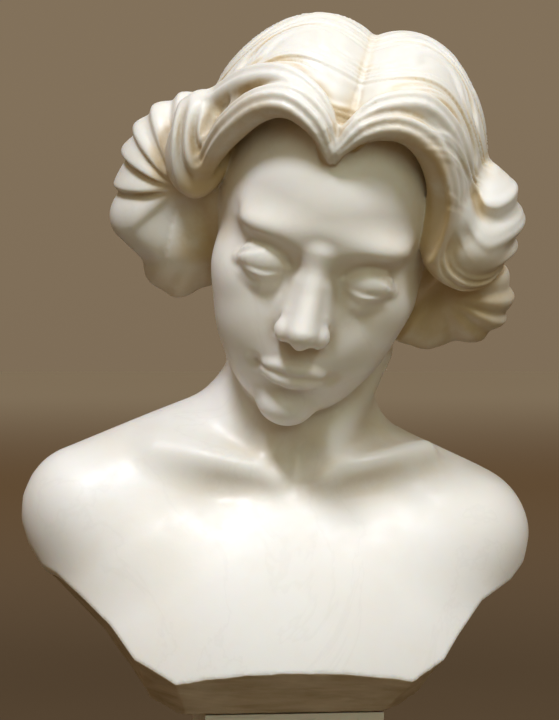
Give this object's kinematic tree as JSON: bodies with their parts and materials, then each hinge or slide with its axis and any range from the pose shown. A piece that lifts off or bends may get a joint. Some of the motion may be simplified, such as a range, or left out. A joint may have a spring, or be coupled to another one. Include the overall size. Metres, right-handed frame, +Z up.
{
  "type": "marble bust",
  "caption": "Life-size carved marble bust of a woman with a bowed head and waved hair, on a stepped square marble socle, turning on a central pin.",
  "frame": {"origin": "centre of the underside of the socle, on the axis on which the bust turns", "axes": "+Z up along the turning axis, the figure faces -Y, +X is the viewer's right seen from the front"},
  "size_m": [0.3354, 0.2459, 0.559],
  "materials": {
    "bust_marble": "satin polished white marble, faint veins, ochre patina in the recesses, raw tooled cut below the chest",
    "socle_marble": "honed pale marble",
    "mortar": "lime mortar",
    "plaster": "setting plaster",
    "bronze": "turned bronze",
    "brass": "turned brass",
    "felt": "wool felt"
  },
  "bodies": {
    "socle": {"felt_sheet": "felt", "foot_slab": "socle_marble", "mortar_bed": "mortar", "die_block": "socle_marble", "joint_dowels": "brass", "pin_bush": "brass"},
    "washer": {"bearing_washer": "brass"},
    "bust": {"bust_block": "bust_marble", "pin_plaster": "plaster", "dowel_pin": "bronze"}
  },
  "joints": [
    {"name": "bust_turn", "type": "hinge", "parent": "socle", "child": "washer", "pos_m": [0, 0, 0.1103], "axis": [0, 0, 1], "continuous": true},
    {"name": "bust_lift", "type": "slide", "parent": "washer", "child": "bust", "axis": [0, 0, 1], "range_m": [0, 0.06]}
  ]
}
